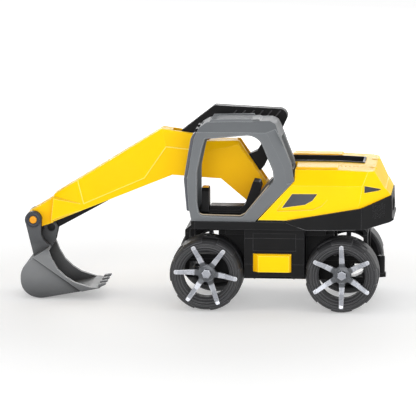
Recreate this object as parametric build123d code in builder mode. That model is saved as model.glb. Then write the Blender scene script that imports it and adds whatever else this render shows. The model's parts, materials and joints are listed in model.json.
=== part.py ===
from build123d import *
import os

os.makedirs("parts", exist_ok=True)

# Toy excavator, millimetres. +X is forward (the bucket end), +Y is the vehicle's left
# (the cab side), +Z is up and the wheels stand on Z = 0.
# Outlines give X measured from the swivel axis, so that they read like the real drawing;
# swivel_x then places that axis in the part's frame.

# ---- driving dimensions -------------------------------------------------------------
rear_reach = 121.6  # the platform's rear lip, behind the swivel axis
bucket_reach = 269.8  # the bucket's back, ahead of the swivel axis
swivel_x = (rear_reach - bucket_reach) / 2

fit = 0.05  # radial clearance of a running fit
gap = 0.4  # clearance between neighbouring bodies

wheel_r = 38.0
half_wheelbase = 70.0
tyre_in = 40.0  # inner and outer faces of a tyre, measured from the centre plane
tyre_out = 79.7
barrel_r = 26.5  # where the tyre meets the rim barrel
spoke_count = 6
axle_r = 2.5

beam_half = 36.0  # half width of the chassis beam
block_half = 65.0  # half width of the block between the wheels
chassis_top = 84.0
pivot_r = 8.0  # the swivel boss

boom_y = -15.0  # the boom, handle and bucket share this centre plane
boom_pivot = (14.0, 106.0)
handle_pivot = (32.0, 141.0)
rod_joint = (95.0, 152.0)
bucket_pivot = (258.0, 81.4)
link_joint = (240.0, 72.0)
boom_wall = 2.2
boom_top_half = 11.6
boom_low_half = 15.5
boom_step_half = 18.0
handle_half = 7.3
rod_half = 4.0
pin_r = 3.0
bucket_pin_r = 4.0

hood_wall = 2.0
slot_low_y = -33.0  # the boom slot in the hood
slot_high_y = 3.0
slot_rear_x = -88.0
liner_wall = 2.0

cab_wall = 2.6
cab_y = (12.0, 70.0)


# ---- helpers ------------------------------------------------------------------------
def side_plane(y):
    """Vertical plane along the vehicle: X forward, Y up, facing the vehicle's right."""
    return Plane(origin=(swivel_x, y, 0), x_dir=(1, 0, 0), z_dir=(0, -1, 0))


def level_plane(z):
    return Plane(origin=(swivel_x, 0, z), x_dir=(1, 0, 0), z_dir=(0, 0, 1))


def cross_plane(x):
    """Plane across the vehicle: X to its left, Y up, facing forward."""
    return Plane(origin=(swivel_x + x, 0, 0), x_dir=(0, 1, 0), z_dir=(1, 0, 0))


def slab(plane, points, thickness, corner=0.0):
    """A flat piece with a straight-sided outline.

    corner rounds every corner by one radius, or each by its own from a list.
    """
    radii = corner if isinstance(corner, (list, tuple)) else [corner] * len(points)
    with BuildPart() as piece:
        with BuildSketch(plane) as outline:
            with BuildLine():
                Polyline(*points, close=True)
            make_face()
            for point, radius in zip(points, radii):
                if radius:
                    fillet(outline.vertices().sort_by_distance(Vector(*point))[0], radius)
        extrude(amount=thickness)
    return piece.part


def side_slab(points, y_low, y_high, corner=0.0):
    return slab(side_plane(y_high), points, y_high - y_low, corner)


def level_slab(points, z_low, z_high, corner=0.0):
    return slab(level_plane(z_low), points, z_high - z_low, corner)


def cross_slab(points, x_low, x_high, corner=0.0):
    return slab(cross_plane(x_low), points, x_high - x_low, corner)


def side_disc(centre, radius, y_low, y_high):
    """A cylinder across the vehicle, centred on (x, z)."""
    with BuildPart() as piece:
        with BuildSketch(side_plane(y_high)):
            with Locations(centre):
                Circle(radius)
        extrude(amount=y_high - y_low)
    return piece.part


def level_disc(x, y, radius, z_low, z_high):
    with BuildPart() as piece:
        with BuildSketch(level_plane(z_low)):
            with Locations((x, y)):
                Circle(radius)
        extrude(amount=z_high - z_low)
    return piece.part


def block(x, y, z):
    """A box given by its low and high limits on each axis."""
    corners = ((x[0], z[0]), (x[1], z[0]), (x[1], z[1]), (x[0], z[1]))
    return side_slab(corners, y[0], y[1])


def mirrored(points):
    """A half outline on the left, (y, z) or (x, y) pairs with y last, closed on the right."""
    return list(points) + [(x, -y) for x, y in reversed(points)]


def save(piece, name):
    piece.part.label = name
    export_step(piece.part, f"parts/{name}.step")


# ---- undercarriage ------------------------------------------------------------------
tunnel = ((-25, 48), (25, 48), (25, 75), (-25, 75))
beam_side = ((-95, 30), (-92, 28), (92, 28), (95, 30), (95, 78), (88, chassis_top),
             (-88, chassis_top), (-95, 78))
foot_side = ((-31, 35), (-24, 34), (-20, 32.5), (-17, 35.5), (17, 35.5), (20, 32.5), (24, 34),
             (31, 35), (31, chassis_top), (-31, chassis_top))
step_front, step_rear = 22.0, -17.6  # the left step; the right one is turned half round
step_low, step_high = 40.6, 59.2
screw_spots = ((-50, -30), (-50, 30), (50, -30), (50, 30))
tray_top = 48.0
frame_top = 75.0

with BuildPart() as chassis_whole:
    add(side_slab(beam_side, -beam_half, beam_half))
    add(side_slab(foot_side, -block_half, block_half))
    add(block((-52, 52), (-50, 50), (76, chassis_top)))
    # recessed side panels of the block, above the step
    for side in (-1, 1):
        face = sorted((side * (block_half - 1), side * (block_half + 1)))
        add(block((-22, 22), face, (62, 80)), mode=Mode.SUBTRACT)
    # the tunnel from front to rear, the window for the step bar, and the hollow underside
    add(cross_slab(tunnel, -100, 100, corner=6), mode=Mode.SUBTRACT)
    for side in (-1, 1):
        step_x = sorted((side * (step_front + 0.2), side * (step_rear - 0.2)))
        step_y = sorted((0, side * (block_half + 1)))
        add(block(step_x, step_y, (step_low - 0.2, step_high + 0.2)), mode=Mode.SUBTRACT)
    for x in ((-90, -35), (35, 90)):
        add(block(x, (-beam_half + 3, beam_half - 3), (27, 41)), mode=Mode.SUBTRACT)
    # openings above and beside the axles, right through the beam
    for x in ((-90.5, -60), (60, 90.5)):
        add(block(x, (-beam_half - 1, beam_half + 1), (53, 80)), mode=Mode.SUBTRACT)
    for x in ((-90.5, -78), (78, 90.5)):
        add(block(x, (-beam_half - 1, beam_half + 1), (31, 45)), mode=Mode.SUBTRACT)
    # the turntable's bore with a pocket for its washer
    add(level_disc(0, 0, pivot_r + fit, 70, 90), mode=Mode.SUBTRACT)
    add(level_disc(0, 0, 13, 74, 78), mode=Mode.SUBTRACT)
    # axle saddles inside the hollow ends, bored for the axles
    for x in (-half_wheelbase, half_wheelbase):
        add(block((x - 6, x + 6), (-beam_half + 2, beam_half - 2), (30, 42)))
        add(side_disc((x, wheel_r), axle_r, -40, 40), mode=Mode.SUBTRACT)
        for y in ((-tyre_in + 0.8, -beam_half), (beam_half, tyre_in - 0.8)):
            add(side_disc((x, wheel_r), 7, y[0], y[1]))
            add(side_disc((x, wheel_r), axle_r, y[0] - 1, y[1] + 1), mode=Mode.SUBTRACT)
    for x, y in screw_spots:
        add(level_disc(x, y, 1.5, 27, 58), mode=Mode.SUBTRACT)

# The chassis is a tray, two side frames and a deck, joined at level seams.
chassis_parts = {"chassis_tray": (-70, 70, 20, tray_top),
                 "side_frame_left": (0, 70, tray_top, frame_top),
                 "side_frame_right": (-70, 0, tray_top, frame_top),
                 "chassis_deck": (-70, 70, frame_top, 90)}
for name, (y_low, y_high, z_low, z_high) in chassis_parts.items():
    with BuildPart() as layer:
        add(chassis_whole.part)
        add(block((-100, 100), (y_low, y_high), (z_low, z_high)), mode=Mode.INTERSECT)
    save(layer, name)

with BuildPart() as chassis_screws:
    for x, y in screw_spots:
        add(level_disc(x, y, 1.5, 40, 58))
        add(level_disc(x, y, 2.8, 38.6, 41))
save(chassis_screws, "chassis_screws")

with BuildPart() as step_bar:
    for side in (-1, 1):
        step_x = sorted((side * step_front, side * step_rear))
        step_y = sorted((side * 40, side * 70.5))
        add(block(step_x, step_y, (step_low, step_high)))
        # a broad bevel at one end, a narrow one at the other, and a slope below
        end = step_bar.faces().sort_by(Axis.Y)[-1 if side > 0 else 0]
        upright = end.edges().filter_by(Axis.Z).sort_by(Axis.X)
        chamfer(upright[-1 if side > 0 else 0], 5.5)
        end = step_bar.faces().sort_by(Axis.Y)[-1 if side > 0 else 0]
        chamfer(end.edges().filter_by(Axis.Z).sort_by(Axis.X)[0 if side > 0 else -1], 2)
        end = step_bar.faces().sort_by(Axis.Y)[-1 if side > 0 else 0]
        chamfer(end.edges().filter_by(Axis.X).sort_by(Axis.Z)[-1], 2)
    add(block((step_rear, -step_rear), (-45, 45), (53.4, step_high)))
save(step_bar, "step_bar")

for name, x in (("front_axle", half_wheelbase), ("rear_axle", -half_wheelbase)):
    with BuildPart() as axle:
        add(side_disc((x, wheel_r), axle_r, -67, 67))
        for y in ((-68.4, -66.8), (66.8, 68.4)):
            add(side_disc((x, wheel_r), 4, y[0], y[1]))
    save(axle, name)

peg_x = -107.0
peg_r = 4.5
tongue = ((-95, 11), (-106, 8), (-112.5, 5), (-112.5, -5), (-106, -8), (-95, -11))
gusset = ((-15, 32), (-15, 28), (-5.5, 22), (5.5, 22), (15, 28), (15, 32))
with BuildPart() as tow_hitch:
    add(level_slab(tongue, 26, 30))
    add(cross_slab(gusset, -98, -95))
    add(side_slab(((-98, 26), (-107, 26), (-98, 22.5)), -1.5, 1.5))
    add(level_disc(peg_x, 0, peg_r, 29, 48))
    fillet(tow_hitch.faces().sort_by(Axis.Z)[-1].edges(), 1.5)
save(tow_hitch, "tow_hitch")

with BuildPart() as turntable_ring:
    with BuildSketch(level_plane(chassis_top)):
        Circle(40)
        Circle(30, mode=Mode.SUBTRACT)
    extrude(amount=1.0)
save(turntable_ring, "turntable_ring")

# ---- wheels -------------------------------------------------------------------------
# Outlines are (radius, distance from the vehicle's centre plane).
tyre_section = ((barrel_r, 60), (32, 57), (33.6, 40.4), (36.8, tyre_in), (wheel_r, 41.4),
                (wheel_r, 60), (36.8, 61.2), (36.6, 74), (35.2, 77.6), (32.6, tyre_out),
                (31, tyre_out), (30.4, 78.3), (barrel_r, 75.5))
lug_section = ((36, 60.6), (37.9, 61.4), (37.7, 73.6), (36.2, 77.4), (34.4, 79), (34, 77))
barrel_section = ((24.4, 58), (barrel_r, 58), (barrel_r, 75.5), (25, 74), (24, 73))
hub_section = ((axle_r + fit, 41), (5.2, 41), (6.2, 62), (11, 63.4), (11, 66.6), (4.9, 68.8),
               (4.9, 65.6), (axle_r + fit, 65.6))
spoke_section = ((8, 62.6), (16, 66.4), (22.6, 73.4), (24.8, 74.8), (29.8, 78.4),
                 (30.2, tyre_out), (33.2, tyre_out), (32.8, 81.3), (29.5, 80.9), (19, 72.4),
                 (8, 67.6))
lug_arc = 34.0
spoke_phase = {"front_left": 54.0, "rear_left": 30.0, "front_right": 48.0, "rear_right": 30.0}

for name, x, side in (("front_left", half_wheelbase, 1), ("rear_left", -half_wheelbase, 1),
                      ("front_right", half_wheelbase, -1), ("rear_right", -half_wheelbase, -1)):
    centre = Vector(swivel_x + x, 0, wheel_r)
    outward = Vector(0, side, 0)
    axis = Axis(centre, outward)
    # a half plane through the axle: X is the radius, Y the distance outward
    half = Plane(origin=centre, x_dir=(1, 0, 0), z_dir=(0, 0, side))
    half = half.rotated((0, spoke_phase[name], 0))
    disc = Plane(origin=centre, x_dir=half.x_dir, z_dir=outward)

    with BuildPart() as tyre:
        with BuildSketch(half):
            with BuildLine():
                Polyline(*tyre_section, close=True)
            make_face()
        revolve(axis=axis)
        for number in range(spoke_count):
            turned = half.rotated((0, number * 360 / spoke_count - lug_arc / 2, 0))
            with BuildSketch(turned):
                with BuildLine():
                    Polyline(*lug_section, close=True)
                make_face()
            revolve(axis=axis, revolution_arc=lug_arc * side)
    save(tyre, f"tyre_{name}")

    with BuildPart() as rim:
        with BuildSketch(half):
            with BuildLine():
                Polyline(*barrel_section, close=True)
            make_face()
        revolve(axis=axis)
    save(rim, f"rim_{name}")

    with BuildPart() as spokes:
        with BuildSketch(half):
            with BuildLine():
                Polyline(*hub_section, close=True)
            make_face()
        revolve(axis=axis)
        for number in range(spoke_count):
            arm = half.rotated((0, number * 360 / spoke_count, 0))
            with BuildSketch(arm):
                with BuildLine():
                    Polyline(*spoke_section, close=True)
                make_face()
            extrude(amount=3.2, both=True)
        # seen end-on the spokes taper to round tips, and the hub disc is scalloped
        with BuildSketch(disc.offset(35)):
            Circle(11.5)
            with PolarLocations(0, spoke_count):
                Polygon((0, -3.1), (31, -2.2), (31, 2.2), (0, 3.1), align=None)
            with PolarLocations(31, spoke_count):
                Circle(2.2)
            with PolarLocations(12.6, spoke_count, start_angle=180 / spoke_count):
                Circle(3.4, mode=Mode.SUBTRACT)
        extrude(amount=50, mode=Mode.INTERSECT)
    save(spokes, f"spokes_{name}")

    with BuildPart() as hub_cap:
        with BuildSketch(disc.offset(68.8)):
            RegularPolygon(5.2, 6)
        extrude(amount=2.4)
        chamfer(hub_cap.faces().sort_by(Axis.Y)[-1 if side > 0 else 0].edges(), 0.7)
    save(hub_cap, f"hub_cap_{name}")

# ---- superstructure: platform ---------------------------------------------------------
lift = 0.1  # the superstructure rides this far above the turntable ring
deck_low = chassis_top + 1.0 + lift
deck_high = 93.0
rear_corner = ((-121.6, 35), (-90, 73))
counterweight_side = ((-119.7, 117.1), (-91.5, 108.8), (-13, 95), (-12.5, 92.8), (-33, 85.4),
                      (-52, 85.4), (-95, 86.6), (-118, 89.6), (-rear_reach, 91.4),
                      (-121.4, 93), (-120.2, 93.8))
deck_plan = ((-60, -72), (27, -72), (27, 10), (86, 10), (86, 69), (82, 72), (-60, 72))
post_spots = ((-100, -30), (-100, 30), (-67, -52), (-67, 52))
post_low = 91.6  # where the hood's posts rest on the platform's pads
hex_pitch = 5.3
badge_half = 12.0

hollow_side = ((-116.6, 130), (-117, 93.6), (-95, 89.8), (-52, 88.6), (-33, 88.6), (-33, 130))
hollow_corner = ((-118, 33.5), (-88.4, 70), (-20, 70.4))


def trimmed(body, tool):
    """What two bodies share."""
    with BuildPart() as piece:
        add(body)
        add(tool, mode=Mode.INTERSECT)
    return piece.part


with BuildPart() as platform:
    add(side_slab(counterweight_side, -74, 74))
    add(level_slab(mirrored(rear_corner + ((-30, 73.6), (0, 73.6))), 80, 120), mode=Mode.INTERSECT)
    # hollow from above, between 3 mm walls, with pads for the hood's posts
    hollow = trimmed(side_slab(hollow_side, -70.4, 70.4),
                     level_slab(mirrored(hollow_corner), 80, 140))
    add(hollow, mode=Mode.SUBTRACT)
    for x, y in post_spots:
        add(level_disc(x, y, 4, 89, post_low))
    add(level_slab(deck_plan, deck_low, deck_high))
    add(block((-34, 0), (-70.4, 70.4), (94.6, 100)), mode=Mode.SUBTRACT)
    add(block((-33, 26.4), (-70.5, 70.5), (88, 94.6)))
    add(side_slab(((18.2, deck_high), (90, deck_high), (90, 97), (14.6, 97)), 11.4, 75),
        mode=Mode.SUBTRACT)
    add(block((42, 83), (13, 69), (80, 90)), mode=Mode.SUBTRACT)
    # the swivel boss with its screw bore
    add(level_disc(0, 0, pivot_r, 77.8, 88))
    add(level_disc(0, 0, 2, 70, 92), mode=Mode.SUBTRACT)
    for x, y in post_spots:
        add(level_disc(x, y, 1.6, 80, post_low + 1), mode=Mode.SUBTRACT)
        add(level_disc(x, y, 3, 80, 87.6), mode=Mode.SUBTRACT)
    # the recess behind the rear grille
    add(block((-125, -118.6), (-32, 32), (95.4, 111.6)), mode=Mode.SUBTRACT)
    # rows of shallow hexagons on the slanted corners
    for side in (-1, 1):
        corner = Plane(origin=(swivel_x - 105.8, side * 54, 103.4), x_dir=(0.639, side * 0.769, 0),
                       z_dir=(-0.769, side * 0.639, 0))
        with BuildSketch(corner.offset(-0.9)):
            for column in range(-3, 3):
                for row in range(4):
                    level = (row - 1.5) * 3.7 + (0.9 if column % 2 else -0.9)
                    with Locations((column * 3.4, level)):
                        RegularPolygon(1.1, 6)
        extrude(amount=3, mode=Mode.SUBTRACT)
save(platform, "platform")

with BuildPart() as rear_grille:
    add(block((-120.1, -118.6), (-31.8, 31.8), (95.6, 111.4)))
    with BuildSketch(cross_plane(-122)):
        for column in range(-10, 11):
            for row in range(4):
                y = column * hex_pitch / 2 * 1.08
                z = 98.6 + row * 3.9 + (1.95 if column % 2 else 0)
                if abs(y) > badge_half + 1 and z < 110.4:
                    with Locations((y, z)):
                        RegularPolygon(1.5, 6)
    extrude(amount=5, mode=Mode.SUBTRACT)
save(rear_grille, "rear_grille")

with BuildPart() as rear_badge:
    # a plain half-round dome, low side down
    with BuildSketch(cross_plane(-120.1)):
        with Locations((0, 98.2)):
            Circle(badge_half)
        with Locations((0, 98.2 - badge_half)):
            Rectangle(4 * badge_half, 2 * badge_half, mode=Mode.SUBTRACT)
    extrude(amount=-1.3)
    fillet(rear_badge.faces().sort_by(Axis.X)[0].edges(), 0.8)
save(rear_badge, "rear_badge")

with BuildPart() as king_washer:
    add(level_disc(0, 0, 12, 76.2, 77.8))
    add(level_disc(0, 0, 2, 70, 80), mode=Mode.SUBTRACT)
save(king_washer, "king_washer")

with BuildPart() as king_screw:
    add(level_disc(0, 0, 2, 76, 91))
    add(level_disc(0, 0, 4, 74.8, 76.2))
save(king_screw, "king_screw")

# ---- superstructure: hood ---------------------------------------------------------------
hood_half_plan = ((-119.4, 35), (-89, 71), (-30, 72), (40, 71))
hood_half_cross = ((85, 71.8), (100, 71.8), (131, 69), (147.4, 61.5))
cab_cut = ((-20.9, 170), (-20.9, 135.9), (19.6, 92), (19.6, 80), (70, 80), (70, 170))
side_vent = ((-44.5, 122.8), (-18.5, 122.6), (-8, 108), (-32, 111.6), (-39.5, 116))
side_panel = ((-59, 126.4), (-16.5, 126.6), (-2, 104.4), (-40, 106.6), (-49, 110.5), (-55, 117))
rear_vent = ((-13, -3.6), (-13, 3.8), (13, -2.2), (9, -3.4))
pivot_boss_r = 10.5


def hood_body(inset, drop):
    """The hood's outer block, its faces moved in by inset and its lower edge down by drop."""
    lower = [(27 + drop * 0.72, 95.2 - drop), (-13, 95.2 - drop), (-91.5, 109 - drop),
             (-118.9, 117.4 - drop)]
    upper = [(-114, 125.2), (-113, 125.4), (-102.4, 145.4), (-64, 147), (-12, 147)]
    with BuildPart() as body:
        with BuildSketch(side_plane(80)):
            with BuildLine():
                Polyline(*lower, *upper, close=True)
            make_face()
            if inset:
                offset(amount=-inset, kind=Kind.INTERSECTION, mode=Mode.REPLACE)
        extrude(amount=160)
        with BuildSketch(level_plane(80)) as plan:
            with BuildLine():
                Polyline(*mirrored(hood_half_plan), close=True)
            make_face()
            rear = plan.vertices().sort_by(Axis.X)[:4]
            fillet(rear, 9)
            if inset:
                offset(amount=-inset, kind=Kind.INTERSECTION, mode=Mode.REPLACE)
        extrude(amount=80, mode=Mode.INTERSECT)
        with BuildSketch(cross_plane(-130)):
            with BuildLine():
                half = [(y, z) for z, y in hood_half_cross]
                Polyline(*half, *[(-y, z) for y, z in reversed(half)], close=True)
            make_face()
            if inset:
                offset(amount=-inset, kind=Kind.INTERSECTION, mode=Mode.REPLACE)
        extrude(amount=200, mode=Mode.INTERSECT)
    return body.part


def hood_insert(tool, depth, thickness):
    """The part of tool that lies between two depths below the hood's surface."""
    with BuildPart() as insert:
        add(hood_body(depth, 0))
        add(hood_body(depth + thickness, 6), mode=Mode.SUBTRACT)
        add(tool, mode=Mode.INTERSECT)
    return insert


def rear_vent_tool(side):
    """A prism that cuts the triangular vent in one rear corner."""
    corner = Plane(origin=(swivel_x - 98, side * 54, 127.5), x_dir=(-0.639, -side * 0.769, 0),
                   z_dir=(-0.769, side * 0.639, 0))
    return slab(corner.offset(-9), rear_vent if side > 0 else
                [(x, z) for x, z in reversed(rear_vent)], 24)


vent_tools = {"side_vent_left": side_slab(side_vent, 40, 80),
              "side_vent_right": side_slab(side_vent, -80, -40),
              "rear_vent_left": rear_vent_tool(1), "rear_vent_right": rear_vent_tool(-1)}

pivot_web = ((4, 95.2), (26, 95.2), (23.5, 106), (14, 116.5), (3, 116.5))


def hood_room():
    """The space inside the hood, which keeps a wall behind the cab."""
    with BuildPart() as room:
        add(hood_body(hood_wall, 8))
        add(side_slab([(x - 2.4, z) for x, z in cab_cut], 9.2, 80), mode=Mode.SUBTRACT)
    return room.part


with BuildPart() as hood:
    add(hood_body(0, 0))
    # shallow recess round each side vent
    for low, high in ((70.2, 80), (-80, -70.2)):
        add(side_slab(side_panel, low, high, corner=1.5), mode=Mode.SUBTRACT)
    add(hood_room(), mode=Mode.SUBTRACT)
    # raised pads on the deck
    add(side_slab(((-66, 146), (-64, 149), (-14, 149), (-12, 146)), -58, -38))
    add(side_slab(((-66, 146), (-64, 149), (-22, 149), (-21.2, 146)), 40, 58))
    for x, y in post_spots:
        add(level_disc(x, y, 4, post_low, 146))
        add(level_disc(x, y, 1.5, post_low - 1, 110), mode=Mode.SUBTRACT)
    add(side_slab(cab_cut, 11.4, 80), mode=Mode.SUBTRACT)
    # the boom slot, and the housings that carry the boom's pivot pin
    add(block((slot_rear_x - liner_wall, 60), (slot_low_y - liner_wall, slot_high_y + liner_wall),
              (90, 160)), mode=Mode.SUBTRACT)
    for y in ((slot_low_y - 8, slot_low_y - liner_wall), (slot_high_y + liner_wall, 11)):
        add(side_slab(pivot_web, y[0], y[1]))
        add(side_disc(boom_pivot, pivot_boss_r, y[0], y[1]))
        add(side_disc(boom_pivot, pin_r, y[0] - 1, y[1] + 1), mode=Mode.SUBTRACT)
    for tool in vent_tools.values():
        add(tool, mode=Mode.SUBTRACT)
    # a row of small sawtooth slots beside the boom slot
    with BuildSketch(level_plane(144)):
        for number in range(17):
            with Locations((-86 + number * 4.2, 33.5)):
                Polygon((0, -2.2), (3.5, -2.2), (1.6, 3), align=None)
    extrude(amount=6, mode=Mode.SUBTRACT)
save(hood, "hood")

for name, tool in vent_tools.items():
    vent = hood_insert(tool, 0.9, 2.0)
    save(vent, name)

with BuildPart() as slot_liner:
    # a U-shaped well, open at the top and front, standing a little proud of the deck
    liner_side = ((slot_rear_x - liner_wall, 95), (slot_rear_x - liner_wall, 147),
                  (-64, 148.2), (-11.4, 148.2), (8, 121), (8, 95))
    add(side_slab(liner_side, slot_low_y - liner_wall, slot_high_y + liner_wall))
    add(block((slot_rear_x, 30), (slot_low_y, slot_high_y), (96.6, 160)), mode=Mode.SUBTRACT)
    add(side_disc(boom_pivot, pivot_boss_r + 1, -60, 30), mode=Mode.SUBTRACT)
    fillet(slot_liner.edges().filter_by(Axis.Z).group_by(Axis.X)[0], 1.5)
save(slot_liner, "slot_liner")

with BuildPart() as hood_screws:
    for x, y in post_spots:
        add(level_disc(x, y, 1.5, 87, 106))
        add(level_disc(x, y, 2.8, 86.2, 87.6))
save(hood_screws, "hood_screws")

with BuildPart() as boom_pivot_pin:
    add(side_disc(boom_pivot, pin_r, slot_low_y - 7.6, 10.6))
save(boom_pivot_pin, "boom_pivot_pin")

# ---- superstructure: cab ----------------------------------------------------------------
cab_side = ((20, 93.1), (85.5, 93.1), (88, 105), (90.2, 136), (83, 178), (78, 190), (70, 195),
            (5, 197), (-1, 194), (-17.5, 152), (-20.4, 136))
cab_cross = ((cab_y[0] + 0.6, 90), (cab_y[0], 96), (cab_y[0], 185.6), (cab_y[0] + 3, 189.6),
             (cab_y[0] + 9, 197.5), (cab_y[1] - 9, 197.5), (cab_y[1] - 3, 189.6),
             (cab_y[1], 185.6), (cab_y[1], 96), (cab_y[1] - 0.6, 90))
cab_room = ((23.6, 96), (82, 96), (85, 106), (87.2, 136), (80.2, 176), (75, 187), (69, 191.6),
            (8, 193.6), (3.2, 191), (-13.5, 151), (-22, 137), (-22, 120), (10, 93.1), (20, 96))
cab_mid_y = (cab_y[0] + cab_y[1]) / 2
side_window = ((33, 98), (77.2, 99.2), (79.4, 112), (79.6, 144), (74.5, 168), (71.4, 178.4),
               (17, 183.6), (1.5, 146), (0.5, 136))
window_radii = (7, 6, 20, 30, 30, 2, 17, 8, 8)
pillar_edges = (((3, 193), (-17.5, 152)), ((-17.5, 152), (-20.4, 136)))
strip_width = 8.0
strip_depth = 2.2
strip_over = 2.0  # how far the cut runs past the edge and its ends
front_frame_side = ((88, 102.8), (90.6, 103.6), (93.6, 136), (86.6, 178), (84, 183.6),
                    (80.8, 183.6), (83, 178), (91, 136), (88, 105))


def pillar_strip(start, end, y, outward):
    """A wedge that slopes the side face away along one edge of the rear pillar."""
    edge = Vector(end[0] - start[0], 0, end[1] - start[1])
    along = edge.normalized()
    inward = Vector(-along.Z, 0, along.X)
    origin = Vector(swivel_x + start[0], y, start[1]) - along * strip_over
    plane = Plane(origin=origin, x_dir=inward, z_dir=along)
    out = outward * plane.y_dir.Y
    low = -out * strip_depth * (strip_width + strip_over) / strip_width
    wedge = ((-strip_over, out), (strip_width, out), (strip_width, 0), (-strip_over, low))
    return slab(plane, wedge, edge.length + 2 * strip_over)


with BuildPart() as cab_frame:
    add(side_slab(cab_side, cab_y[0], cab_y[1]))
    fillet(cab_frame.edges().filter_by(Axis.Y).sort_by(Axis.Z)[-4:], 4)
    add(cross_slab(cab_cross, -40, 110), mode=Mode.INTERSECT)
    room_cross = [(y + (cab_wall if y < cab_mid_y else -cab_wall), z - 3 if z > 190 else z)
                  for y, z in cab_cross]
    room = trimmed(side_slab(cab_room, cab_y[0], cab_y[1]), cross_slab(room_cross, -40, 110))
    add(room, mode=Mode.SUBTRACT)
    add(side_slab(side_window, 0, 90, corner=window_radii), mode=Mode.SUBTRACT)
    # a narrow bevel round the window in both sides
    for end in (0, -1):
        pierced = cab_frame.faces().filter_by(Axis.Y).filter_by(lambda face: face.inner_wires())
        chamfer(pierced.sort_by(Axis.Y)[end].inner_wires()[0].edges(), 1.0)
    for start, end in pillar_edges:
        add(pillar_strip(start, end, cab_y[1], 1), mode=Mode.SUBTRACT)
        add(pillar_strip(start, end, cab_y[0], -1), mode=Mode.SUBTRACT)
    # windscreen and rear window
    windscreen = ((23, 101), (58.5, 101), (58.5, 177), (23, 177))
    rear_window = ((24, 146), (58, 146), (58, 180), (24, 180))
    add(cross_slab(windscreen, 60, 110, corner=5), mode=Mode.SUBTRACT)
    add(cross_slab(rear_window, -30, 20, corner=4), mode=Mode.SUBTRACT)
    # dark slot across the roof's front, and the raised roof panel with its ribs
    roof_slot = ((22, 188.4), (60, 188.4), (58, 191.8), (24, 191.8))
    add(cross_slab(roof_slot, 68, 90), mode=Mode.SUBTRACT)
    add(side_slab(((14, 196), (17, 198), (60, 197.2), (64, 194.6)), 24, 58))
    for y, height in ((20.5, 1.6), (30.7, 0.8), (41, 0.8), (51.3, 0.8), (61.5, 1.6)):
        rib = ((22, 195), (24, 197.6 + height), (66, 196.4 + height), (69, 193))
        add(side_slab(rib, y - 0.7, y + 0.7))
save(cab_frame, "cab_frame")

with BuildPart() as windscreen_frame:
    add(side_slab(front_frame_side, 14.5, 67))
    opening = ((23, 105.5), (58.5, 105.5), (58.5, 177), (23, 177))
    add(cross_slab(opening, 60, 110, corner=5), mode=Mode.SUBTRACT)
save(windscreen_frame, "windscreen_frame")

with BuildPart() as roof_lamps:
    for low, high in ((19.5, 32.5), (48.5, 61.5)):
        lamp = ((80.6, 184.6), (83.4, 184.6), (81.6, 188.2), (79, 188.2))
        add(side_slab(lamp, low, high))
save(roof_lamps, "roof_lamps")

seat_side = ((24, 96.1), (68.4, 96.1), (68.4, 102), (37.5, 102), (31.5, 108), (23, 132.5),
             (16, 131.4), (14.6, 126), (20.6, 108), (22, 103))
with BuildPart() as seat:
    add(side_slab(seat_side, 27.5, 50.5, corner=0.8))
    add(block((26, 81), (15, 67), (96.1, 99)))
    add(block((36, 60), (29, 49), (101, 106)))
save(seat, "seat")

console_front = ((29.5, 99), (51.5, 99), (50, 121), (47.5, 124.5), (33.5, 124.5), (31, 121))
with BuildPart() as console:
    add(cross_slab(console_front, 69, 76.5, corner=1.2))
    add(side_slab(((76, 99), (81, 99), (76, 112)), 34, 47))
save(console, "console")

# ---- boom -------------------------------------------------------------------------------
# Two outlines with matching corners: the boom is narrow along its top edge and widens to
# its lower panel; ruled faces join the two.
boom_top = ((8.7, 118), (41.8, 167), (78, 166), (83, 173), (122.9, 178.6), (160, 155.4),
            (212, 122.7), (236.5, 107.6), (239.6, 78), (111.4, 130.4), (60.4, 127.2), (30.2, 102))
boom_low = ((9.6, 117.4), (42, 163), (77, 155.4), (82, 156), (118, 160), (141, 126.6),
            (212, 96.4), (236.5, 104), (239.6, 78), (111.4, 130.4), (60.4, 127.2), (30.2, 102))
flare_root = ((206, 98), (236.5, 105.6), (239.4, 79), (205, 92.6))
flare_tip = ((232, 103), (236.8, 103.6), (239.2, 80.4), (231, 84))
tip_r = 8.5
tip_half = 11.5
tip_wall = 2.0
top_cavity = ((19, 118), (43, 158), (44, 164.4), (79.2, 163.6), (84, 170.6), (122.4, 176), (158, 153.6),
              (210, 121), (234, 106), (239, 60), (111, 110), (60, 110), (34, 96))
low_cavity = ((22, 118), (46, 150), (77, 150), (116, 155.4), (137, 125), (212, 93.6),
              (234, 100), (239, 60), (111, 110), (60, 110), (34, 96))
handle_pin_half = 13.4  # the pin's ends are closed in by the boom's flanks
ear_in = 12.0
ear_out = 20.0


def boom_y_range(half):
    return boom_y - half, boom_y + half


def outline_at(points, y):
    """A closed face with a straight-sided outline, standing on the plane Y = y."""
    with BuildSketch(side_plane(y)) as face:
        with BuildLine():
            Polyline(*points, close=True)
        make_face()
    return face.sketch


def ruled_flank(near, far, half_near, half_far, side):
    """The solid between two matching outlines on one side of the boom."""
    with BuildPart() as flank:
        sections = [outline_at(near, boom_y + side * half_near),
                    outline_at(far, boom_y + side * half_far)]
        loft(sections=[section.faces()[0] for section in sections], ruled=True)
    return flank.part


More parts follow.
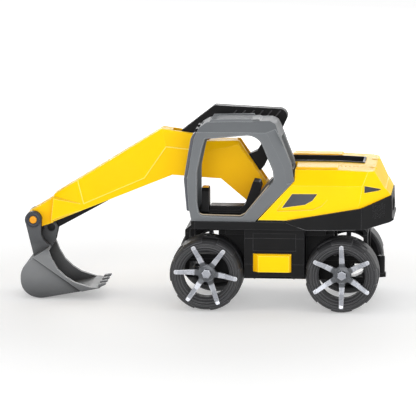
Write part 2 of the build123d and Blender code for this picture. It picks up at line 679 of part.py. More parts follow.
with BuildPart() as boom_shell:
    add(side_slab(boom_top, *boom_y_range(boom_top_half)))
    for side in (-1, 1):
        add(ruled_flank(boom_top, boom_low, boom_top_half, boom_low_half, side))
        add(ruled_flank(flare_root, flare_tip, boom_low_half - 0.2, boom_step_half, side))
    # the hollow, open below
    add(side_slab(top_cavity, *boom_y_range(boom_top_half - boom_wall)), mode=Mode.SUBTRACT)
    add(side_slab(low_cavity, *boom_y_range(boom_low_half - boom_wall)), mode=Mode.SUBTRACT)
    # the tip fork for the bucket, open below
    tip = ((228, 113), (236.5, 104.8), (262.3, 88.7), (266, 84), (262, 74), (252, 72.6),
           (238, 77.4), (228, 90))
    add(side_slab(tip, *boom_y_range(tip_half)))
    add(side_disc(bucket_pivot, tip_r, *boom_y_range(tip_half)))
    tip_room = ((220, 112), (233, 104.4), (246.6, 95.6), (247.4, 60), (220, 60))
    add(side_slab(tip_room, *boom_y_range(tip_half - tip_wall)), mode=Mode.SUBTRACT)
    # slots in the top for the handle's legs
    add(block((74, 112), boom_y_range(handle_half + 0.5), (158, 190)), mode=Mode.SUBTRACT)
    rear_slot = ((6, 133), (16, 122), (60, 140), (60, 160), (44, 160), (44, 172), (20, 172))
    add(side_slab(rear_slot, *boom_y_range(handle_half + 0.5)), mode=Mode.SUBTRACT)
    # bosses for the pivot pin and for the handle's pin
    add(side_disc(boom_pivot, 9, *boom_y_range(17.4)))
    add(side_disc(boom_pivot, pin_r + fit, -60, 30), mode=Mode.SUBTRACT)
    for low, high in ((-boom_low_half + 0.6, -handle_half - 0.5),
                      (handle_half + 0.5, boom_low_half - 0.6)):
        add(side_disc(handle_pivot, 6, boom_y + low, boom_y + high))
    add(side_disc(handle_pivot, pin_r, *boom_y_range(handle_pin_half)), mode=Mode.SUBTRACT)
    add(side_disc(bucket_pivot, bucket_pin_r, -60, 30), mode=Mode.SUBTRACT)
save(boom_shell, "boom_shell")

with BuildPart() as handle_pin:
    add(side_disc(handle_pivot, pin_r, *boom_y_range(handle_pin_half)))
save(handle_pin, "handle_pin")

with BuildPart() as bucket_pin:
    add(side_disc(bucket_pivot, bucket_pin_r, *boom_y_range(ear_out + 0.2)))
    fillet(bucket_pin.edges().filter_by(GeomType.CIRCLE).sort_by(Axis.Y)[0], 0.8)
    fillet(bucket_pin.edges().filter_by(GeomType.CIRCLE).sort_by(Axis.Y)[-1], 0.8)
save(bucket_pin, "bucket_pin")

# ---- handle -------------------------------------------------------------------------------
handle_outer = ((-12.6, 199.7), (68, 203.4), (103.6, 175.4), (101.6, 152), (95, 145.6),
                (88.5, 152), (85.5, 166), (79.6, 167.6), (72, 182), (61, 187.4), (6.4, 185.4),
                (23, 156), (29.6, 153), (38, 147), (38, 136), (32, 133.5), (20, 135), (15.5, 140))
handle_radii = (8, 4, 6, 2, 2, 2, 3, 1, 6, 6, 3, 3, 1, 1, 1, 1, 1, 1)
with BuildPart() as handle:
    add(side_slab(handle_outer, *boom_y_range(handle_half), corner=handle_radii))
    add(side_disc(handle_pivot, 7.5, *boom_y_range(handle_half)))
    add(side_disc(rod_joint, 6.5, *boom_y_range(handle_half)))
    # a fork for the control rod
    add(block((84, 106), boom_y_range(rod_half + gap), (130, 164)), mode=Mode.SUBTRACT)
    add(side_disc(handle_pivot, pin_r + fit, -60, 30), mode=Mode.SUBTRACT)
    add(side_disc(rod_joint, pin_r - 0.5, -60, 30), mode=Mode.SUBTRACT)
    # slanted grip grooves on both sides of the top bar
    for number in range(6):
        x = 6 + number * 9.2
        groove = ((x, 188.6), (x + 1.6, 188.6), (x - 6.4, 198.4), (x - 8, 198.4))
        for low, high in ((-handle_half - 1, -handle_half + 0.8),
                          (handle_half - 0.8, handle_half + 1)):
            add(side_slab(groove, boom_y + low, boom_y + high), mode=Mode.SUBTRACT)
save(handle, "handle")

with BuildPart() as rod_pin:
    add(side_disc(rod_joint, pin_r - 0.5, *boom_y_range(handle_half)))
save(rod_pin, "rod_pin")

# ---- control rod --------------------------------------------------------------------------
rod_dx = link_joint[0] - rod_joint[0]
rod_dz = link_joint[1] - rod_joint[1]
rod_length = (rod_dx**2 + rod_dz**2) ** 0.5
rod_side = (-rod_dz / rod_length * 3.8, rod_dx / rod_length * 3.8)
slot_back = 5.4  # the eye is slotted so that it never binds on the handle's pin
slot_front = 1.2
slot_r = 3.8
eye_r = 5.9
rod_bar = [(rod_joint[0] + rod_side[0], rod_joint[1] + rod_side[1]),
           (link_joint[0] + rod_side[0], link_joint[1] + rod_side[1]),
           (link_joint[0] - rod_side[0], link_joint[1] - rod_side[1]),
           (rod_joint[0] - rod_side[0], rod_joint[1] - rod_side[1])]
link_half = 6.4
with BuildPart() as control_rod:
    add(side_slab(rod_bar, *boom_y_range(rod_half)))
    add(side_disc(link_joint, 6, *boom_y_range(link_half)))
    eye_x = (rod_joint[0] - slot_back, rod_joint[0] + slot_front)
    add(block(eye_x, boom_y_range(rod_half), (rod_joint[1] - eye_r, rod_joint[1] + eye_r)))
    for x in eye_x:
        add(side_disc((x, rod_joint[1]), eye_r, *boom_y_range(rod_half)))
    add(block(eye_x, (-60, 30), (rod_joint[1] - slot_r, rod_joint[1] + slot_r)),
        mode=Mode.SUBTRACT)
    for x in eye_x:
        add(side_disc((x, rod_joint[1]), slot_r, -60, 30), mode=Mode.SUBTRACT)
    add(side_disc(link_joint, pin_r + fit, -60, 30), mode=Mode.SUBTRACT)
save(control_rod, "control_rod")

# ---- bucket -------------------------------------------------------------------------------
bucket_half = 34.0
mouth_half = 37.2
plate = 2.6
bucket_back = ((256, 44), (269.8, 32), (269.8, 4), (248, 0.6), (205, 8.6))
back_radii = (0, 20, 19, 26, 0)
mouth_edge = ((186, 12.6), (197, 13.4), (213, 18.4), (222, 24), (230.5, 32), (236.4, 42), (241, 54))
bucket_room = ((241, 50), (254.6, 41.6), (267.2, 30.6), (267.2, 6.6), (248, 3.3), (205, 11.3),
               (190, 14.6), (170, 60), (225, 70))
room_radii = (0, 0, 17, 16, 23, 0, 0, 0, 0)
ear = ((266.4, 80), (257.4, 43), (241, 54), (247.4, 60.4), (249.8, 66), (249.6, 80))
bracket = ((233.4, 71), (236.2, 58), (240, 51), (256, 41.8), (253, 62), (246.6, 72))

with BuildPart() as bucket_shell:
    # the mouth band is wider than the rounded back
    add(side_slab(bucket_back + mouth_edge, *boom_y_range(bucket_half),
                  corner=back_radii + (0,) * len(mouth_edge)))
    band = ((256, 44), (205, 8.6)) + mouth_edge
    add(side_slab(band, *boom_y_range(mouth_half)))
    add(side_slab(bucket_room, *boom_y_range(bucket_half - plate), corner=room_radii),
        mode=Mode.SUBTRACT)
    # serrated cutting lip
    for number in range(4):
        y = boom_y - mouth_half + 9.3 + number * 18.6
        tooth = ((188, 11.9), (180.4, 15.4), (181, 17), (188, 15.6))
        add(side_slab(tooth, y - 4.2, y + 4.2))
    for side in (-1, 1):
        ear_y = sorted((boom_y + side * ear_in, boom_y + side * ear_out))
        add(side_slab(ear, *ear_y))
        add(side_disc(bucket_pivot, 8.7, *ear_y))
        bracket_y = sorted((boom_y + side * (link_half + 0.3), boom_y + side * 9.1))
        add(side_slab(bracket, *bracket_y))
        add(side_disc(link_joint, 6.8, *bracket_y))
    add(side_disc(bucket_pivot, bucket_pin_r + fit, -60, 30), mode=Mode.SUBTRACT)
    add(side_disc(link_joint, pin_r, -60, 30), mode=Mode.SUBTRACT)
save(bucket_shell, "bucket_shell")

with BuildPart() as link_pin:
    add(side_disc(link_joint, pin_r, *boom_y_range(9.2)))
save(link_pin, "link_pin")
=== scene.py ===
import json
import math

import bmesh
import bpy
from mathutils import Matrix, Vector
from mathutils.bvhtree import BVHTree


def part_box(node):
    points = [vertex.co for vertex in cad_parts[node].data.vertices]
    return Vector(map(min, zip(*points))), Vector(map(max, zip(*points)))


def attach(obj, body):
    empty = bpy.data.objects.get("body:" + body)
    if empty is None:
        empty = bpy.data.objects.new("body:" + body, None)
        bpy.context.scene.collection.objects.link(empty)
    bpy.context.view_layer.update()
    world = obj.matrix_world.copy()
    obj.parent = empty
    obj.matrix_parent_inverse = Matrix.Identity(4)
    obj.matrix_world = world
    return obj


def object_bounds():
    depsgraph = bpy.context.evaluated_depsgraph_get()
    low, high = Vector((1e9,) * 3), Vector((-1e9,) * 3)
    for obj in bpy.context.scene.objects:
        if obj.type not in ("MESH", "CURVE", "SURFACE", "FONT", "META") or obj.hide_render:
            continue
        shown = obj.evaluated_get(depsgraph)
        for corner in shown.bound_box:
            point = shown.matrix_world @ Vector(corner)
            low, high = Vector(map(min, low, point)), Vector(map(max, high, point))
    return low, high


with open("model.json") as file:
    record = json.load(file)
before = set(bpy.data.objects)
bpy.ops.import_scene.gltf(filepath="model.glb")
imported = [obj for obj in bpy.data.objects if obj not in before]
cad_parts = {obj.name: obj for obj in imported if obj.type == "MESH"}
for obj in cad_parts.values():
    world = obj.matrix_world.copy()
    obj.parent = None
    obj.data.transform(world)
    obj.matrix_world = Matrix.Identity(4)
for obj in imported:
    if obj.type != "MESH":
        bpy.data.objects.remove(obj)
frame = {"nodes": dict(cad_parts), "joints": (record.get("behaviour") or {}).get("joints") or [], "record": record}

bpy.context.scene.view_settings.view_transform = "Standard"
cad_low, cad_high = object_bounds()
nodes = frame["nodes"]
centre = (cad_low + cad_high) / 2
MM = 0.001
LEFT, RIGHT = 1, -1
WHEELS = ("front_left", "rear_left", "front_right", "rear_right")
joint_at = {joint["name"]: Vector(joint["pos_m"]) for joint in frame["joints"]}
swivel_x = joint_at["swivel"].x


# ---- camera and lights -----------------------------------------------------------------
def aim(thing, place, target):
    thing.location = place
    thing.rotation_mode = "QUATERNION"
    thing.rotation_quaternion = (Vector(target) - Vector(place)).to_track_quat("-Z", "Y")
    bpy.context.scene.collection.objects.link(thing)


def area_light(name, place, target, size, power):
    data = bpy.data.lights.new(name, "AREA")
    data.shape = "RECTANGLE"
    data.size, data.size_y = size
    data.energy = power
    aim(bpy.data.objects.new(name, data), place, target)


view_azimuth, view_elevation = math.radians(184.8), math.radians(9.1)
view_distance = 4.5
focal_length = 372
aim_drop = 0.006  # the camera looks this far below the toy's middle
back = Vector((math.sin(view_azimuth) * math.cos(view_elevation),
               -math.cos(view_azimuth) * math.cos(view_elevation),
               math.sin(view_elevation)))
camera_data = bpy.data.cameras.new("camera")
camera_data.sensor_width = 36
camera_data.lens = focal_length
camera_data.clip_end = 60
camera = bpy.data.objects.new("camera", camera_data)
looked_at = centre + Vector((0, 0, -aim_drop))
aim(camera, looked_at + back * view_distance, looked_at)
bpy.context.scene.camera = camera

# The toy is lit alike from both sides, low and broad, with little light from above.
# Each row is a name, the place of the left one of the pair, its target, size and power.
side_lights = (
    ("key", (-0.5, 2.3, 0.95), (0, 0, 0.1), (2.2, 1.1), 19),
    ("low_fill", (0.2, 2.6, 0.42), (0, 0, 0.12), (1.2, 0.6), 16),
    ("front_fill", (1.7, 1.1, 0.6), (0, 0, 0.08), (1.0, 0.9), 7),
    ("rear_fill", (-1.9, 0.8, 0.7), (0, 0, 0.08), (1.0, 0.9), 8),
)
for side in (RIGHT, LEFT):
    for name, (x, y, z), lit, size, power in side_lights:
        area_light(name, (x, side * y, z), lit, size, power)
area_light("top", (0, 0, 2.4), (0, 0, 0), (1.6, 1.6), 5)


# ---- shader nodes ----------------------------------------------------------------------
def node_of(tree, kind, inputs=None, **settings):
    made = tree.nodes.new(kind)
    for key, value in settings.items():
        setattr(made, key, value)
    for key, value in (inputs or {}).items():
        if isinstance(value, bpy.types.NodeSocket):
            tree.links.new(value, made.inputs[key])
        else:
            made.inputs[key].default_value = value
    return made


def noise(tree, where, scale, detail=3.0, rough=0.55):
    return node_of(tree, "ShaderNodeTexNoise",
                   {"Vector": where, "Scale": scale, "Detail": detail, "Roughness": rough})


def spread(tree, value, low, high, from_low=0.3, from_high=0.7):
    return node_of(tree, "ShaderNodeMapRange",
                   {"Value": value, "From Min": from_low, "From Max": from_high,
                    "To Min": low, "To Max": high}).outputs["Result"]


def blend_colour(tree, factor, a, b):
    mix = node_of(tree, "ShaderNodeMix", data_type="RGBA")
    for socket, value in ((0, factor), (6, a), (7, b)):
        if isinstance(value, bpy.types.NodeSocket):
            tree.links.new(value, mix.inputs[socket])
        else:
            mix.inputs[socket].default_value = value if socket == 0 else (*value, 1)
    return mix.outputs[2]


# ---- world -----------------------------------------------------------------------------
horizon_strength, overhead_strength = 0.62, 0.26
world = bpy.data.worlds.new("studio")
world.use_nodes = True
sky_tree = world.node_tree
sky = sky_tree.nodes["Background"]
sky_way = node_of(sky_tree, "ShaderNodeTexCoord").outputs["Generated"]
sky_height = node_of(sky_tree, "ShaderNodeSeparateXYZ", {0: sky_way}).outputs["Z"]
sky_strength = spread(sky_tree, sky_height, horizon_strength, overhead_strength,
                      from_low=0.05, from_high=0.6)
sky_tree.links.new(sky_strength, sky.inputs["Strength"])
sky.inputs["Color"].default_value = (1, 1, 1, 1)
bpy.context.scene.world = world


# ---- materials -------------------------------------------------------------------------
# scales of the noise textures, per metre
MOTTLE, SPECKLE, PATCHES, DUST, SMEARS, WAVES = 14, 240, 60, 95, 34, 22


def finish_of(name, base, dark, light, rough=(0.3, 0.42), grain=(1100, 0.05), edge=0.7,
              metal=0.0, stretch=(1, 1, 1), spec=0.5, dust=None, hollow=None, core=None,
              above=None):
    """Moulded plastic or metal: mottled colour, a painted highlight on rounded edges, fine grain.

    rough is the roughness's (low, high); grain is (scale, strength) of the finest bump; edge is
    the radius, in millimetres, over which edges get a painted highlight in the light colour; stretch is
    the fine noise's scale along each axis; dust is (height, strength, colour) up from the
    ground; hollow is (reach, colour), a painted shade for surfaces shut in by their neighbours; core is
    (centre, radius, colour) for a hub about an axle along Y; above is (height, colour), a painted
    shade on what lies higher than that.
    """
    made = bpy.data.materials.new(name)
    made.use_nodes = True
    tree = made.node_tree
    shader = tree.nodes["Principled BSDF"]
    place = node_of(tree, "ShaderNodeTexCoord").outputs["Object"]
    stretched = node_of(tree, "ShaderNodeMapping", {"Vector": place, "Scale": stretch})
    stretched = stretched.outputs["Vector"]
    broad = noise(tree, place, MOTTLE, 4).outputs["Fac"]
    fine = noise(tree, stretched, SPECKLE, 5).outputs["Fac"]
    round_edge = node_of(tree, "ShaderNodeBevel", {"Radius": edge * MM}, samples=6)
    face = node_of(tree, "ShaderNodeNewGeometry").outputs["Normal"]
    turn = node_of(tree, "ShaderNodeVectorMath", {0: round_edge.outputs[0], 1: face},
                   operation="DOT_PRODUCT").outputs["Value"]
    # painted highlight: edges found by the bevel are lightened, in patches, to the light colour
    edge_highlight = spread(tree, turn, 1.0, 0.0, 0.96, 0.9985)
    patchy = spread(tree, noise(tree, place, PATCHES, 4).outputs["Fac"], 0.55, 1.0)
    edge_highlight = node_of(tree, "ShaderNodeMath", {0: edge_highlight, 1: patchy}, operation="MULTIPLY")
    colour = blend_colour(tree, spread(tree, broad, 0, 1), dark, base)
    speckle = spread(tree, fine, 0, 0.22, 0.5, 0.8)
    colour = blend_colour(tree, speckle, colour, dark)
    if dust:
        high = node_of(tree, "ShaderNodeSeparateXYZ", {0: place}).outputs["Z"]
        low = spread(tree, high, 1.0, 0.0, 0.0, dust[0])
        spots = noise(tree, place, DUST, 6, 0.7).outputs["Fac"]
        spots = spread(tree, spots, 0, dust[1], 0.45, 0.75)
        low = node_of(tree, "ShaderNodeMath", {0: low, 1: spots}, operation="MULTIPLY")
        colour = blend_colour(tree, low.outputs[0], colour, dust[2])
    colour = blend_colour(tree, edge_highlight.outputs[0], colour, light)
    if core:
        offset = node_of(tree, "ShaderNodeVectorMath", {0: place, 1: core[0]},
                         operation="SUBTRACT").outputs["Vector"]
        flat = node_of(tree, "ShaderNodeVectorMath", {0: offset, 1: (1, 0, 1)},
                       operation="MULTIPLY").outputs["Vector"]
        reach = node_of(tree, "ShaderNodeVectorMath", {0: flat},
                        operation="LENGTH").outputs["Value"]
        within = spread(tree, reach, 1.0, 0.0, core[1], core[1] * 1.12)
        colour = blend_colour(tree, within, colour, core[2])
    # painted shade: what lies above the given height takes the darker above colour
    if above:
        high = node_of(tree, "ShaderNodeSeparateXYZ", {0: place}).outputs["Z"]
        higher = spread(tree, high, 0.0, 1.0, above[0], above[0] + 0.012)
        colour = blend_colour(tree, higher, colour, above[1])
    # painted shade: surfaces that ambient occlusion finds shut in take the hollow colour
    if hollow:
        open_sky = node_of(tree, "ShaderNodeAmbientOcclusion", {"Distance": hollow[0]}, samples=8)
        hollow_shade = spread(tree, open_sky.outputs["AO"], 1.0, 0.0, 0.45, 0.9)
        colour = blend_colour(tree, hollow_shade, colour, hollow[1])
    tree.links.new(colour, shader.inputs["Base Color"])
    smear = noise(tree, stretched, SMEARS, 5, 0.65).outputs["Fac"]
    tree.links.new(spread(tree, smear, rough[0], rough[1]), shader.inputs["Roughness"])
    wave = noise(tree, place, WAVES, 2).outputs["Fac"]
    soft = node_of(tree, "ShaderNodeBump", {"Height": wave, "Strength": 0.06,
                                            "Distance": 4 * MM,
                                            "Normal": round_edge.outputs[0]})
    pitting = noise(tree, stretched, grain[0], 3).outputs["Fac"]
    tiny = node_of(tree, "ShaderNodeBump", {"Height": pitting, "Strength": grain[1],
                                            "Distance": 0.4 * MM,
                                            "Normal": soft.outputs[0]})
    tree.links.new(tiny.outputs[0], shader.inputs["Normal"])
    shader.inputs["Metallic"].default_value = metal
    shader.inputs["Specular IOR Level"].default_value = spec
    return made


# in every finish here and below, the light colour is a painted highlight on the edges
looks = {
    # the yellow's hollow colour is a painted shade, amber where neighbouring parts shut it in
    "yellow_plastic": finish_of("yellow_plastic", (0.98, 0.63, 0.0), (0.95, 0.57, 0.0),
                                (1.0, 0.86, 0.2), rough=(0.42, 0.52), edge=0.9, spec=0.08,
                                hollow=(0.07, (0.93, 0.47, 0.004))),
    "black_plastic": finish_of("black_plastic", (0.0075, 0.0075, 0.008), (0.005, 0.005, 0.0055),
                               (0.06, 0.06, 0.064), rough=(0.44, 0.58), edge=0.7, spec=0.12,
                               dust=(0.09, 0.2, (0.022, 0.022, 0.024))),
    "grey_plastic": finish_of("grey_plastic", (0.155, 0.164, 0.172), (0.132, 0.14, 0.148),
                              (0.34, 0.35, 0.36), rough=(0.46, 0.58), edge=0.9, spec=0.14),
    "tyre": finish_of("tyre", (0.03, 0.03, 0.032), (0.022, 0.022, 0.024),
                      (0.1, 0.1, 0.105), rough=(0.46, 0.6), grain=(700, 0.1), edge=1.0,
                      spec=0.3, dust=(0.08, 0.25, (0.06, 0.059, 0.056))),
    "silver_plastic": finish_of("silver_plastic", (0.3, 0.31, 0.34), (0.24, 0.25, 0.28),
                                (0.7, 0.72, 0.78), rough=(0.26, 0.38), metal=0.5, edge=0.9),
    "steel": finish_of("steel", (0.5, 0.5, 0.52), (0.36, 0.36, 0.38), (0.8, 0.8, 0.82),
                       rough=(0.25, 0.45), metal=1.0, edge=0.3, stretch=(1, 1, 8)),
}
# variants of those finishes, for single nodes and for the small pieces
hub_radius = 11.8 * MM
# painted shade: the bucket's hollow colour darkens it where shut in, as inside the bucket, and its colour above 46
# mm darkens the ears
bucket_grey = finish_of("bucket_grey", (0.19, 0.195, 0.2), (0.16, 0.165, 0.17),
                        (0.38, 0.39, 0.4), rough=(0.48, 0.6), edge=0.9, spec=0.14,
                        hollow=(0.038, (0.028, 0.028, 0.029)),
                        above=(0.046, (0.085, 0.088, 0.093)))
slate = finish_of("slate", (0.03, 0.034, 0.045), (0.022, 0.025, 0.034), (0.22, 0.23, 0.25),
                  rough=(0.34, 0.46), edge=0.8, spec=0.35)
# painted shade: a darker copy of the grey, for the windscreen frame, which faces forward into shade
shaded_frame_grey = finish_of("shaded_frame_grey", (0.085, 0.09, 0.105), (0.07, 0.074, 0.088),
                       (0.3, 0.31, 0.34), rough=(0.36, 0.48), edge=0.7, spec=0.35)
amber = finish_of("amber", (0.84, 0.36, 0.004), (0.78, 0.31, 0.003), (1.0, 0.62, 0.08),
                  rough=(0.3, 0.4), edge=0.6, spec=0.3)
# painted highlight: a paler copy of the yellow, for the lines along the boom's crease and step
highlight_yellow = finish_of("highlight_yellow", (1.0, 0.84, 0.13), (1.0, 0.78, 0.08), (1.0, 0.9, 0.3),
                        rough=(0.26, 0.36), edge=0.3)
dull_black = finish_of("dull_black", (0.05, 0.05, 0.053), (0.038, 0.038, 0.041),
                       (0.12, 0.12, 0.125), rough=(0.34, 0.46), edge=0.3)
# painted highlight: a warm pale colour for the line along the foot of each side window
rim_highlight = finish_of("rim_highlight", (0.42, 0.34, 0.24), (0.36, 0.29, 0.2), (0.6, 0.5, 0.38),
                 rough=(0.34, 0.46), edge=0.3)
own_look = {"bucket_shell": bucket_grey, "windscreen_frame": shaded_frame_grey, "bucket_pin": amber,
            "link_pin": looks["black_plastic"], "side_vent_left": slate,
            "side_vent_right": slate, "rear_vent_left": slate, "rear_vent_right": slate,
            "hood_screws": dull_black}
for wheel in WHEELS:
    own_look[f"spokes_{wheel}"] = finish_of(
        f"spokes_{wheel}", (0.46, 0.475, 0.52), (0.43, 0.445, 0.49), (0.95, 0.96, 1.0),
        rough=(0.22, 0.34), metal=0.4, edge=1.1,
        core=(joint_at[f"wheel_spin_{wheel}"], hub_radius, (0.1, 0.105, 0.115)))
for row in frame["record"]["subparts"]:
    mesh = nodes[row["node"]].data
    mesh.materials.clear()
    mesh.materials.append(own_look.get(row["node"], looks[row["material_slot"]]))


# ---- piece makers ----------------------------------------------------------------------
def at(x, y, z):
    """A point given in millimetres, with X measured from the swivel axis."""
    return Vector((swivel_x + x * MM, y * MM, z * MM))


def add_piece(name, mesh, body, look):
    piece = bpy.data.objects.new(name, mesh)
    mesh.materials.clear()
    mesh.materials.append(look)
    bpy.context.scene.collection.objects.link(piece)
    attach(piece, body)


def stepped(points, step=3.0):
    """Points at most step millimetres apart along a broken line."""
    walked = [points[0]]
    for start, end in zip(points, points[1:]):
        count = max(1, math.ceil(math.dist(start, end) / step))
        walked += [tuple(a + (b - a) * number / count for a, b in zip(start, end))
                   for number in range(1, count + 1)]
    return walked


def shell_of(node):
    mesh = nodes[node].data
    return BVHTree.FromPolygons([vertex.co for vertex in mesh.vertices],
                                [tuple(face.vertices) for face in mesh.polygons])


def on_flank(node, outline, side):
    """The broken line of (x, z) points, laid on the node's LEFT or RIGHT side."""
    well_outside = 200
    shell = shell_of(node)
    hits = [shell.ray_cast(at(x, side * well_outside, z), Vector((0, -side, 0)))[0]
            for x, z in stepped(outline)]
    return [hit for hit in hits if hit]


def bead(name, points, radius, body, look, closed=False):
    """A thin raised line through the given points, with its radius in millimetres."""
    line = bpy.data.curves.new(name, "CURVE")
    line.dimensions = "3D"
    line.bevel_depth = radius * MM
    line.bevel_resolution = 3
    line.use_fill_caps = not closed
    spline = line.splines.new("POLY")
    spline.points.add(len(points) - 1)
    spline.use_cyclic_u = closed
    for knot, point in zip(spline.points, points):
        knot.co = (*point, 1)
    carrier = bpy.data.objects.new(name, line)
    mesh = bpy.data.meshes.new_from_object(carrier)
    bpy.data.objects.remove(carrier)
    mesh.shade_smooth()
    add_piece(name, mesh, body, look)


def lathe(name, middle, axis, profile, body, look, sides=64):
    """A closed profile of (radius, height) in millimetres, turned about an axis."""
    turn = Vector((0, 0, 1)).rotation_difference(Vector(axis)).to_matrix()
    made = bmesh.new()
    rings = []
    for number in range(sides):
        angle = 2 * math.pi * number / sides
        spoke = Vector((math.cos(angle), math.sin(angle), 0))
        local = [spoke * radius + Vector((0, 0, height)) for radius, height in profile]
        rings.append([made.verts.new(middle + turn @ point * MM) for point in local])
    for near, far in zip(rings, rings[1:] + rings[:1]):
        for index in range(len(profile)):
            after = (index + 1) % len(profile)
            made.faces.new((near[index], near[after], far[after], far[index]))
    bmesh.ops.remove_doubles(made, verts=made.verts, dist=0.001 * MM)
    bmesh.ops.recalc_face_normals(made, faces=made.faces)
    mesh = bpy.data.meshes.new(name)
    made.to_mesh(mesh)
    made.free()
    mesh.shade_smooth()
    add_piece(name, mesh, body, look)


def plate(name, outline, depth, body, look, bevel=0.5):
    """A flat plate: 3-D outline points, thickened by depth and bevelled."""
    made = bmesh.new()
    face = made.faces.new([made.verts.new(point) for point in outline])
    grown = bmesh.ops.extrude_face_region(made, geom=[face])
    raised = [item for item in grown["geom"] if isinstance(item, bmesh.types.BMVert)]
    bmesh.ops.translate(made, verts=raised, vec=depth)
    bmesh.ops.recalc_face_normals(made, faces=made.faces)
    bmesh.ops.bevel(made, geom=list(made.edges), offset=bevel * MM, segments=3, profile=0.6,
                    affect="EDGES")
    mesh = bpy.data.meshes.new(name)
    made.to_mesh(mesh)
    made.free()
    add_piece(name, mesh, body, look)


def side_name(side):
    return "left" if side == LEFT else "right"


# ---- boom ------------------------------------------------------------------------------
# outlines in the pieces below are in millimetres, with X measured from the swivel axis
boom_crease_highlight = ((83, 156.4), (118, 160), (141, 126.6), (205, 98.6))
boom_step_highlight = ((205, 98.6), (211.6, 122.4))
# painted highlight: pale yellow lines laid along the boom's crease and the step at its tip
for side in (RIGHT, LEFT):
    bead(f"boom_crease_highlight_{side_name(side)}", on_flank("boom_shell", boom_crease_highlight, side), 0.55,
         "boom", highlight_yellow)
    bead(f"boom_step_highlight_{side_name(side)}", on_flank("boom_shell", boom_step_highlight, side), 0.5,
         "boom", highlight_yellow)

# ---- handle ----------------------------------------------------------------------------
grip_first_x, grip_pitch, grip_count = 6.8, 9.2, 6
grip_low_z, grip_high_z, grip_slant = 188.8, 198.2, -8
for side in (RIGHT, LEFT):
    for number in range(grip_count):
        x = grip_first_x + number * grip_pitch
        grip = on_flank("handle", ((x, grip_low_z), (x + grip_slant, grip_high_z)), side)
        bead(f"grip_line_{side_name(side)}_{number}", grip, 0.55, "handle",
             dull_black)

# ---- bucket ----------------------------------------------------------------------------
ring_profile = ((4.5, -0.2), (4.5, 0.7), (5.1, 1.0), (7.2, 1.0), (7.8, 0.6), (7.8, -0.2))
link_profile = ((0, -0.2), (0, 0.2), (3.7, 0.2), (4.3, 0.0), (4.3, -0.2))
pin_past_ear = 0.2 * MM
bucket_pin_low, bucket_pin_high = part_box("bucket_pin")
link_pin_low, link_pin_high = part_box("link_pin")
ear_half = (bucket_pin_high.y - bucket_pin_low.y) / 2 - pin_past_ear
link_half = (link_pin_high.y - link_pin_low.y) / 2
for side in (RIGHT, LEFT):
    curl = joint_at["bucket_curl"] + Vector((0, side * ear_half, 0))
    lathe(f"ear_ring_{side_name(side)}", curl, (0, side, 0), ring_profile, "bucket",
          slate)
    link = joint_at["rod_swing"] + Vector((0, side * link_half, 0))
    lathe(f"link_cap_{side_name(side)}", link, (0, side, 0), link_profile, "bucket",
          looks["black_plastic"])

# ---- cab -------------------------------------------------------------------------------
cab_low, cab_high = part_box("cab_frame")
wall_depth = 1.6  # from the cab's outer face to where the painted highlight line lies
window_foot = ((77, 101), (73, 99.8), (35, 99.2), (29.5, 102), (5.5, 131.5))
wall_ys = ((LEFT, cab_high.y / MM - wall_depth), (RIGHT, cab_low.y / MM + wall_depth))
# painted highlight: a warm pale line along the foot of each side window
for side, wall_y in wall_ys:
    foot = [at(x, wall_y, z) for x, z in stepped(window_foot)]
    bead(f"window_rim_highlight_{side_name(side)}", foot, 0.6, "superstructure", rim_highlight)
# the black band below the rear window, with its notch over the seat, as (y, z)
band_x, band_depth = -12.6, 1.4
band = ((17, 149), (65, 149), (65, 140.5), (51, 140.5), (48.5, 137), (33.5, 137), (31, 140.5),
        (17, 140.5))
plate("cab_rear_band", [at(band_x, y, z) for y, z in band], Vector((band_depth * MM, 0, 0)),
      "superstructure", looks["black_plastic"], bevel=0.4)
seat_base_z, seat_base_height = 101.8, 4.4
seat_base = ((30.5, 28.4), (68, 28.4), (68, 49.6), (30.5, 49.6))
plate("seat_base", [at(x, y, seat_base_z) for x, y in seat_base],
      Vector((0, 0, seat_base_height * MM)), "superstructure",
      looks["black_plastic"], bevel=0.9)
console_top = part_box("console")[1].z / MM
cap_sunk, cap_height = 0.1, 0.9
cap = ((69.6, 35.2), (75.9, 35.2), (75.9, 45.8), (69.6, 45.8))
plate("console_cap", [at(x, y, console_top - cap_sunk) for x, y in cap],
      Vector((0, 0, cap_height * MM)), "superstructure", amber, bevel=0.3)

# ---- platform and chassis --------------------------------------------------------------
platform_fold = ((-12.6, 92.6), (-32.8, 85.6), (-52, 85.6), (-84, 86.4))
for side in (RIGHT, LEFT):
    bead(f"platform_fold_{side_name(side)}", on_flank("platform", platform_fold, side), 0.45,
         "superstructure", dull_black)
rear_wall_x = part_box("chassis_tray")[0].x
screw_y, screw_z = 27 * MM, 42 * MM
screw_profile = ((0, -0.3), (0, 0.6), (1.4, 0.6), (1.6, 1.1), (2.6, 0.9), (3.0, 0.3),
                 (3.0, -0.3))
for side in (RIGHT, LEFT):
    spot = Vector((rear_wall_x, side * screw_y, screw_z))
    lathe(f"rear_screw_{side_name(side)}", spot, (-1, 0, 0), screw_profile, "undercarriage",
          dull_black, sides=32)

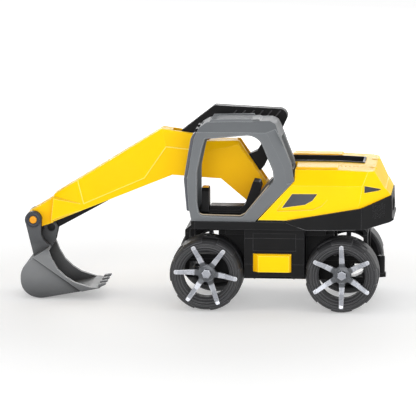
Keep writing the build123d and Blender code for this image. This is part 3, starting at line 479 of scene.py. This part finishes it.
# ---- wheels ----------------------------------------------------------------------------
sidewall_profile = ((28.4, -0.6), (28.6, 0.3), (29.4, 0.5), (30.2, 0.0), (30.4, -0.6))
sidewall_depth = 1.9 * MM  # from the lugs' outer face to the sidewall
for wheel in WHEELS:
    side = LEFT if wheel.endswith("left") else RIGHT
    hub = joint_at[f"wheel_spin_{wheel}"]
    tyre_low, tyre_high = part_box(f"tyre_{wheel}")
    face_y = tyre_high.y if side == LEFT else tyre_low.y
    lathe(f"sidewall_ring_{wheel}", Vector((hub.x, face_y - side * sidewall_depth, hub.z)),
          (0, side, 0), sidewall_profile, f"wheel_{wheel}", dull_black)

# ---- floor -----------------------------------------------------------------------------
floor_half, floor_gap = 12.0, 0.0002
floor_look = bpy.data.materials.new("floor")
floor_look.use_nodes = True
floor_tree = floor_look.node_tree
floor_shader = floor_tree.nodes["Principled BSDF"]
floor_place = node_of(floor_tree, "ShaderNodeTexCoord").outputs["Object"]
mottle = spread(floor_tree, noise(floor_tree, floor_place, 3, 3).outputs["Fac"], 0, 1)
floor_tree.links.new(blend_colour(floor_tree, mottle, (0.74, 0.74, 0.74), (0.77, 0.77, 0.77)),
                     floor_shader.inputs["Base Color"])
floor_shader.inputs["Roughness"].default_value = 0.9
floor_shader.inputs["Specular IOR Level"].default_value = 0.1
floor_shader.inputs["Emission Color"].default_value = (1, 1, 1, 1)
# the floor glows a little, and more further out, so that it stays white all round
floor_reach = node_of(floor_tree, "ShaderNodeVectorMath", {0: floor_place},
                      operation="LENGTH").outputs["Value"]
floor_glow = spread(floor_tree, floor_reach, 0.32, 0.7, from_low=0.3, from_high=1.3)
floor_tree.links.new(floor_glow, floor_shader.inputs["Emission Strength"])
floor_mesh = bpy.data.meshes.new("floor")
corners = [(x * floor_half, y * floor_half, 0) for x, y in ((-1, -1), (1, -1), (1, 1), (-1, 1))]
floor_mesh.from_pydata(corners, [], [(0, 1, 2, 3)])
floor_mesh.materials.append(floor_look)
floor = bpy.data.objects.new("floor", floor_mesh)
floor.location.z = cad_low.z - floor_gap
bpy.context.scene.collection.objects.link(floor)
